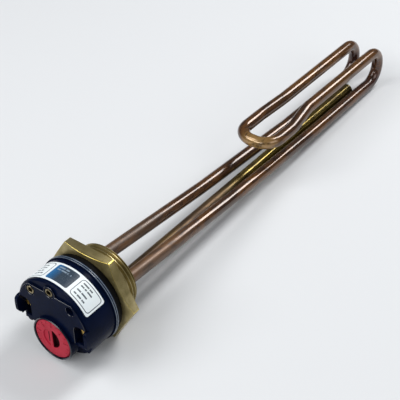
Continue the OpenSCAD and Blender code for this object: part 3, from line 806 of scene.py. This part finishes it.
@dataclass
class RodThermostat:
    """Plug-in thermostat: rubber ring, phenolic base and cover, terminals, rod and switch."""

    ring_edge_mm: float = 0.9
    lip_edge_mm: float = 0.35
    edge_faces: int = 3
    # Cover: its edges by their distance from the dial's axis and behind the collar's front.
    cover_edge_mm: float = 0.5
    snap_mm: float = 0.05
    field_from_mm: float = 14.6
    field_back_mm: float = 2.0
    rim_back_mm: float = 3.2
    rim_band_mm: float = 0.2
    brass_edge_mm: float = 0.2
    rivet_edge_mm: float = 0.3
    bead_mm: float = 0.55
    bead_proud_mm: float = 0.12
    bead_gap_mm: float = 0.05
    bead_oval: float = 0.94
    bead_steps: tuple[int, int] = (160, 16)

    def rounded(self, node: str, name: str, edge_mm: float, slot: Slot, finish: Finish) -> Object:
        """Stands a copy with rounded edges for a solid.

        Args:
            node: Name of the solid.
            name: Name of the piece.
            edge_mm: Width of the rounding in millimetres.
            slot: Material slot of the record.
            finish: Finish of the piece.

        Returns:
            The finished piece.
        """
        piece = merged_copy(node, name)
        round_edges(piece, edge_mm, self.edge_faces)
        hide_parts(node)
        return dress_piece(piece, slot, finish)

    def lip_beads(self) -> Object:
        """Moulds the two round beads on the edge of the base's lip.

        Returns:
            The beads' piece.
        """
        lip_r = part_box("thermostat_base")[1].z
        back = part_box("head_gasket")[0].x
        bead = shape(bpy.ops.mesh.primitive_torus_add, minor_radius=self.bead_mm * MM,
                     major_radius=lip_r + (self.bead_proud_mm - self.bead_mm) * MM,
                     major_segments=self.bead_steps[0], minor_segments=self.bead_steps[1],
                     rotation=(0.0, math.radians(90), 0.0))
        bpy.ops.object.transform_apply(rotation=True)
        with editing(bead):
            bpy.ops.transform.resize(value=(self.bead_oval, 1.0, 1.0))
            bpy.ops.transform.translate(value=(back - (self.bead_mm + self.bead_gap_mm) * MM, 0.0, 0.0))
        beads = [bead, twin(bead)]
        with editing(beads[1]):
            bpy.ops.transform.translate(value=(-2 * (self.bead_mm + self.bead_gap_mm) * MM, 0.0, 0.0))
        # Their grey-blue finish is a painted highlight line on the black moulding.
        return dress_piece(joined(beads, "lip_beads"), Slot.PHENOLIC, LIP_PAINTED_HIGHLIGHT)

    def cover(self) -> Object:
        """Stands a copy with bevelled front edges for the cover.

        Returns:
            The finished piece.
        """
        piece = merged_copy("thermostat_cover", "phenolic_cover")
        coat(piece, PHENOLIC, PHENOLIC_EDGE_GLINT)
        low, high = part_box("thermostat_cover")
        dial_low, dial_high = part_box("adjusting_dial")
        axis_z = (dial_low.z + dial_high.z) / 2
        near = self.snap_mm * MM

        def on_collar(point: Vector) -> bool:
            """Says whether a point lies on the collar's front."""
            return abs(point.x - low.x) < near

        def on_field(point: Vector) -> bool:
            """Says whether a point lies on the raised field, clear of the collar."""
            return (abs(point.x - low.x - self.field_back_mm * MM) < near
                    and math.hypot(point.y, point.z - axis_z) > self.field_from_mm * MM)

        def on_rim(point: Vector) -> bool:
            """Says whether a point lies on the outer edge of the front."""
            return (abs(point.x - low.x - self.rim_back_mm * MM) < near
                    and math.hypot(point.y, point.z) > high.z - self.rim_band_mm * MM)

        # The bevels take the glossier edge finish, painted a little lighter as a highlight line.
        for place in (on_collar, on_field, on_rim):
            bevel_edges(piece, self.cover_edge_mm, place)
        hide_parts("thermostat_cover")
        return dress_piece(piece, Slot.PHENOLIC)

    def build(self) -> None:
        """Builds the pieces that show and finishes the ones inside."""
        self.rounded("head_gasket", "rubber_ring", self.ring_edge_mm, Slot.RUBBER, RUBBER)
        self.rounded("thermostat_base", "phenolic_base", self.lip_edge_mm, Slot.PHENOLIC, PHENOLIC)
        self.cover()
        self.rounded("hollow_rivets", "rolled_rivets", self.rivet_edge_mm, Slot.SMALL_BRASS, RIVET_BRASS)
        self.rounded("terminal_screws", "slotted_screws", self.brass_edge_mm, Slot.SMALL_BRASS, BRASS)
        self.rounded("terminal_clamps", "clamp_blocks", self.brass_edge_mm, Slot.SMALL_BRASS, BRASS)
        self.lip_beads()
        paint_nodes(BRASS, "rod_tube", "neutral_strap", "line_strap", "load_clip", "adjusting_spindle")
        paint_nodes(STEEL, "rod_core", "switch_lever")
        paint_nodes(SILVER, "fixed_contact", "moving_contact")
        paint_nodes(BRONZE, "switch_blade")
        paint_nodes(CLAY, "push_pin")


@dataclass(frozen=True)
class Patch:
    """A patch of the label, by angles round the axis and distances from the label's front edge."""

    from_deg: float
    to_deg: float
    from_mm: float
    to_mm: float
    corner_mm: float


# Distance of each row of bars from the label's front edge in millimetres, and its bars' lengths in degrees.
Rows = tuple[tuple[float, tuple[float, ...]], ...]


@dataclass
class Label:
    """Coated label round the cover's side: two outlined panels, a colour field and plain bars."""

    corner_mm: float = 1.4
    corner_faces: int = 5
    line_mm: float = 0.42
    ink_mm: float = 0.02
    bar_mm: float = 0.9
    bar_corner_mm: float = 0.2
    bar_gap_deg: float = 1.2
    step_deg: float = 3.0
    left_panel: Patch = Patch(-57.5, -18.5, 1.1, 13.2, 2.0)
    right_panel: Patch = Patch(23.0, 57.5, 1.1, 13.2, 2.0)
    field: Patch = Patch(-14.5, 18.5, 1.3, 13.0, 1.2)
    indent_deg: float = 4.0
    left_indent_deg: float = 17.0
    left_rows: Rows = ((3.4, (6.0, 4.0, 4.0)), (5.8, (7.0, 5.0)), (8.2, (4.0, 8.0)), (10.4, (6.0, 5.0)))
    right_rows: Rows = ((3.0, (4.0, 6.5, 5.0)), (5.6, (6.0, 9.0)), (8.6, (5.0, 3.0, 8.0)),
                        (10.6, (9.0, 5.0)))
    field_rows: Rows = ((8.9, (5.0, 8.0, 6.0)), (10.7, (9.0, 5.0)))

    def wrapped(self, name: str, patch: Patch, radius: float, thick_mm: float,
                line_mm: float = 0.0) -> Object:
        """Cuts a flat patch with round corners and wraps it round the cover.

        Args:
            name: Name of the piece.
            patch: Place of the patch.
            radius: Radius of its inner face, in metres.
            thick_mm: Thickness in millimetres.
            line_mm: Width of an outline in millimetres, or 0 for a filled patch.

        Returns:
            The wrapped patch.
        """
        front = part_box("label")[0].x
        sides = (math.radians(patch.from_deg) * radius, math.radians(patch.to_deg) * radius)
        ends = (front + patch.from_mm * MM, front + patch.to_mm * MM)
        piece = shape(bpy.ops.mesh.primitive_plane_add, size=1.0)
        piece.name = name
        for vertex in piece.data.vertices:
            vertex.co.x = sides[vertex.co.x > 0]
            vertex.co.y = ends[vertex.co.y > 0]
        with editing(piece):
            bpy.ops.mesh.bevel(offset=patch.corner_mm * MM, segments=self.corner_faces, affect="VERTICES")
            if line_mm:
                bpy.ops.mesh.inset(thickness=line_mm * MM)
                bpy.ops.mesh.delete(type="FACE")
            for cut in range(1, int((patch.to_deg - patch.from_deg) / self.step_deg)):
                at = sides[0] + math.radians(cut * self.step_deg) * radius
                bpy.ops.mesh.select_all(action="SELECT")
                bpy.ops.mesh.bisect(plane_co=(at, 0.0, 0.0), plane_no=(1.0, 0.0, 0.0))
        for vertex in piece.data.vertices:
            angle = vertex.co.x / radius
            vertex.co = (vertex.co.y, -radius * math.sin(angle), radius * math.cos(angle))
        apply_modifier(piece, "SOLIDIFY", thickness=thick_mm * MM, offset=1.0)
        return piece

    def bars(self, panel: Patch, rows: Rows, name: str, radius: float, indent_deg: float) -> Object:
        """Prints rows of plain bars in a panel.

        Args:
            panel: Panel that the bars stand in.
            rows: Rows of bars.
            name: Name of the piece.
            radius: Radius of the print, in metres.
            indent_deg: Angle from the panel's end to the first bar.

        Returns:
            The bars as one piece.
        """
        printed = []
        for row_mm, lengths in rows:
            at = panel.from_deg + indent_deg
            for length in lengths:
                bar = Patch(at, at + length, row_mm, row_mm + self.bar_mm, self.bar_corner_mm)
                printed.append(self.wrapped(f"{name}_{len(printed)}", bar, radius, self.ink_mm))
                at += length + self.bar_gap_deg
        return joined(printed, name)

    def build(self) -> None:
        """Cuts the label, prints it and stands it for its solid."""
        low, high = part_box("label")
        half_deg = math.degrees(math.asin(high.y / high.z))
        cover_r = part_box("thermostat_cover")[1].z
        thick_mm = (high.z - cover_r) / MM
        width_mm = (high.x - low.x) / MM
        sheet = self.wrapped("coated_label", Patch(-half_deg, half_deg, 0.0, width_mm, self.corner_mm),
                             cover_r, thick_mm)
        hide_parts("label")
        dress_piece(sheet, Slot.LABEL, PAPER)
        outlines = [self.wrapped(f"outline_{index}", panel, high.z, self.ink_mm, self.line_mm)
                    for index, panel in enumerate((self.left_panel, self.right_panel))]
        dress_piece(joined(outlines, "label_outlines"), Slot.LABEL, OUTLINE_INK)
        field = self.wrapped("label_field", self.field, high.z, self.ink_mm)
        dress_piece(field, Slot.LABEL, FIELD_INK)
        over_ink = high.z + self.ink_mm * MM
        for name, panel, rows, radius, indent_deg, ink in (
                ("right_bars", self.right_panel, self.right_rows, high.z, self.indent_deg, BAR_INK),
                ("left_bars", self.left_panel, self.left_rows, high.z, self.left_indent_deg, BAR_INK),
                ("field_bars", self.field, self.field_rows, over_ink, self.indent_deg, PALE_INK)):
            dress_piece(self.bars(panel, rows, name, radius, indent_deg), Slot.LABEL, ink)


@dataclass
class Dial:
    """Red adjusting dial with its raised scale."""

    edge_mm: float = 0.25
    edge_faces: int = 3
    # Faces that get the painted shade: depths and reach of the slot, sides and height of the slit, and the
    # slit's depth.
    slot_from_mm: float = 0.7
    slot_to_mm: float = 2.6
    slot_reach_mm: float = 6.6
    slit_mm: tuple[float, float, float] = (1.9, 3.25, 3.6)
    slit_from_mm: float = 0.5
    tick_mm: tuple[float, float, float] = (0.3, 0.4, 1.3)
    tick_edge_mm: float = 0.08
    tick_at_mm: float = 10.9
    ticks_deg: tuple[int, int, int] = (-120, 121, 20)
    digit_mm: float = 2.3
    digit_at_mm: float = 8.9
    digits: str = "12345"
    digit_step_deg: float = 40.0

    def centre(self) -> Vector:
        """Returns the middle of the dial's front face."""
        low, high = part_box("adjusting_dial")
        return Vector((low.x, (low.y + high.y) / 2, (low.z + high.z) / 2))

    def turned(self, piece: Object, angle_deg: float, radius_mm: float) -> Object:
        """Moves a mark from the origin to its place on the scale.

        Args:
            piece: Mark that faces -X with +Z up, at the origin.
            angle_deg: Angle clockwise from the top, seen from the front.
            radius_mm: Distance from the dial's axis in millimetres.

        Returns:
            The same mark.
        """
        turn = Matrix.Rotation(math.radians(angle_deg), 4, "X")
        place = Matrix.Translation(self.centre()) @ turn @ Matrix.Translation((0.0, 0.0, radius_mm * MM))
        piece.data.transform(place)
        return piece

    def tick(self) -> Object:
        """Makes the raised tick that the scale repeats.

        Returns:
            The tick, at the origin.
        """
        mark = shape(bpy.ops.mesh.primitive_cube_add, size=1.0)
        with editing(mark):
            bpy.ops.transform.resize(value=[side * MM for side in self.tick_mm])
        round_edges(mark, self.tick_edge_mm)
        return mark

    def digit(self, sign: str, angle_deg: float) -> Object:
        """Makes one raised number of the scale.

        Args:
            sign: The number.
            angle_deg: Angle clockwise from the top, seen from the front.

        Returns:
            The number in its place.
        """
        mark = shape(bpy.ops.object.text_add)
        mark.data.body = sign
        mark.data.size = self.digit_mm * MM
        mark.data.extrude = self.tick_mm[0] / 2 * MM
        mark.data.align_x = "CENTER"
        mark.data.align_y = "CENTER"
        bpy.ops.object.convert(target="MESH")
        mark = bpy.context.object
        upright = Matrix(((0, 0, -1, 0), (-1, 0, 0, 0), (0, 1, 0, 0), (0, 0, 0, 1)))
        mark.data.transform(upright)
        return self.turned(mark, angle_deg, self.digit_at_mm)

    def build(self) -> None:
        """Rounds the dial's edges, paints shade into its slot and slit and raises its scale."""
        dial = merged_copy("adjusting_dial", "red_dial")
        round_edges(dial, self.edge_mm, self.edge_faces)
        centre = self.centre()
        # Cuts the recess floor so that a strip beside the slit can take the painted shade.
        left, right = self.slit_mm[1] * MM, self.slit_mm[2] * MM
        with editing(dial):
            for offset, across in ((Vector((0, left, 0)), (0, 1, 0)), (Vector((0, 0, right)), (0, 0, 1)),
                                   (Vector((0, 0, -right)), (0, 0, 1))):
                bpy.ops.mesh.select_all(action="SELECT")
                bpy.ops.mesh.bisect(plane_co=centre + offset, plane_no=across)
        # Faces of the slot and the slit get the painted shade of the recess.
        for face in dial.data.polygons:
            away = face.center - centre
            in_grip = math.hypot(away.y, away.z) < self.slot_reach_mm * MM
            in_slot = in_grip and self.slot_from_mm * MM < away.x < self.slot_to_mm * MM
            in_slit = (self.slit_mm[0] * MM < away.y < self.slit_mm[1] * MM
                       and abs(away.z) < self.slit_mm[2] * MM and away.x > self.slit_from_mm * MM)
            face.material_index = int(in_slot or in_slit)
        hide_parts("adjusting_dial")
        dress_piece(dial, Slot.DIAL, DIAL_RED, DIAL_SLOT_SHADE, body=Body.DIAL)
        tick = self.tick()
        marks = [self.turned(twin(tick), angle, self.tick_at_mm) for angle in range(*self.ticks_deg)]
        bpy.data.objects.remove(tick)
        first = -self.digit_step_deg * (len(self.digits) - 1) / 2
        marks += [self.digit(sign, first + self.digit_step_deg * index)
                  for index, sign in enumerate(self.digits)]
        dress_piece(joined(marks, "dial_scale"), Slot.DIAL, DIAL_MARK, body=Body.DIAL)


@dataclass(frozen=True)
class SoftBox:
    """A lamp with a square or long face that looks at a point."""

    name: str
    place_mm: tuple[float, float, float]
    target_mm: tuple[float, float, float]
    size_mm: tuple[float, float]
    watts: float

    def add(self) -> None:
        """Adds the lamp to the scene."""
        lamp = bpy.data.lights.new(self.name, "AREA")
        lamp.shape = "RECTANGLE"
        lamp.size, lamp.size_y = (s * MM for s in self.size_mm)
        lamp.energy = self.watts
        stand = bpy.data.objects.new(self.name, lamp)
        place = Vector(self.place_mm) * MM
        aim = Vector(self.target_mm) * MM - place
        stand.matrix_world = Matrix.Translation(place) @ aim.to_track_quat("-Z", "Y").to_matrix().to_4x4()
        bpy.context.scene.collection.objects.link(stand)


@dataclass
class Studio:
    """Pale floor that the heater lies on, soft light and the camera."""

    floor_mm: float = 6000.0
    camera_mm: tuple[float, float, float] = (-293.4, -296.7, 386.4)
    azimuth_deg: float = -52.64
    elevation_deg: float = 38.41
    roll_deg: float = -0.72
    focal_px: float = 1031.0
    image_px: float = 400.0
    sensor_mm: float = 36.0
    near_clip_mm: float = 10.0
    world: str = "#9A9EA4"
    world_strength: float = 0.35

    def lamps(self) -> tuple[SoftBox, ...]:
        """Places the soft boxes round the heater.

        Returns:
            The soft boxes.
        """
        middle = (120.0, 0.0, 0.0)
        return (
            SoftBox("key", (-420.0, 600.0, 1030.0), (0.0, 0.0, 20.0), (620.0, 760.0), 5.0),
            SoftBox("streak", (960.0, -200.0, 1000.0), middle, (380.0, 800.0), 11.0),
            SoftBox("right_fill", (0.0, -1100.0, 800.0), middle, (800.0, 800.0), 3.2),
            SoftBox("front_strip", (-1050.0, 250.0, 850.0), (0.0, 0.0, 0.0), (1700.0, 320.0), 10.0),
        )

    def lay_floor(self) -> None:
        """Lays the floor against the hexagon's lower flat and the lowest of the tubes' far ends."""
        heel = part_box("screw_plug")[0].z
        slopes = (math.atan2(v.co.z - heel, v.co.x) for node in ("element_sheath", "thermostat_pocket")
                  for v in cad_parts[node].data.vertices if v.co.x > 0)
        floor = shape(bpy.ops.mesh.primitive_plane_add, size=self.floor_mm * MM)
        floor.name = "studio_floor"
        tilt = Matrix.Rotation(-min(slopes), 4, "Y")
        floor.matrix_world = Matrix.Translation((0.0, 0.0, heel)) @ tilt
        coat(floor, FLOOR)

    def light(self) -> None:
        """Sets the world's even light and the soft boxes."""
        world = bpy.data.worlds.new("studio_world")
        bpy.context.scene.world = world
        world.use_nodes = True
        backdrop = world.node_tree.nodes["Background"]
        backdrop.inputs["Color"].default_value = srgb(self.world)
        backdrop.inputs["Strength"].default_value = self.world_strength
        for lamp in self.lamps():
            lamp.add()
        bpy.context.scene.view_settings.view_transform = "Standard"

    def place_camera(self) -> None:
        """Stands the camera where the photograph was taken from."""
        turn, rise, roll = (math.radians(a) for a in (self.azimuth_deg, self.elevation_deg, self.roll_deg))
        back = Vector((math.sin(turn) * math.cos(rise), -math.cos(turn) * math.cos(rise), math.sin(rise)))
        right = Vector((math.cos(turn), math.sin(turn), 0.0))
        up = back.cross(right)
        rolled = right * math.cos(roll) + up * math.sin(roll)
        upright = up * math.cos(roll) - right * math.sin(roll)
        camera = bpy.data.cameras.new("camera")
        camera.sensor_width = self.sensor_mm
        camera.lens = self.sensor_mm * self.focal_px / self.image_px
        camera.clip_start = self.near_clip_mm * MM
        stand = bpy.data.objects.new("camera", camera)
        axes = Matrix((rolled, upright, back)).transposed().to_4x4()
        stand.matrix_world = Matrix.Translation(Vector(self.camera_mm) * MM) @ axes
        bpy.context.scene.collection.objects.link(stand)
        bpy.context.scene.camera = stand

    def set_up(self) -> None:
        """Sets up the camera, the floor and the light."""
        self.place_camera()
        self.lay_floor()
        self.light()


def main() -> None:
    """Builds every sub-assembly."""
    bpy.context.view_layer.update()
    Studio().set_up()
    ScrewPlug().build()
    HeatingElement().dress()
    RodThermostat().build()
    Label().build()
    Dial().build()
    bpy.context.view_layer.update()


if __name__ == "__main__":
    main()
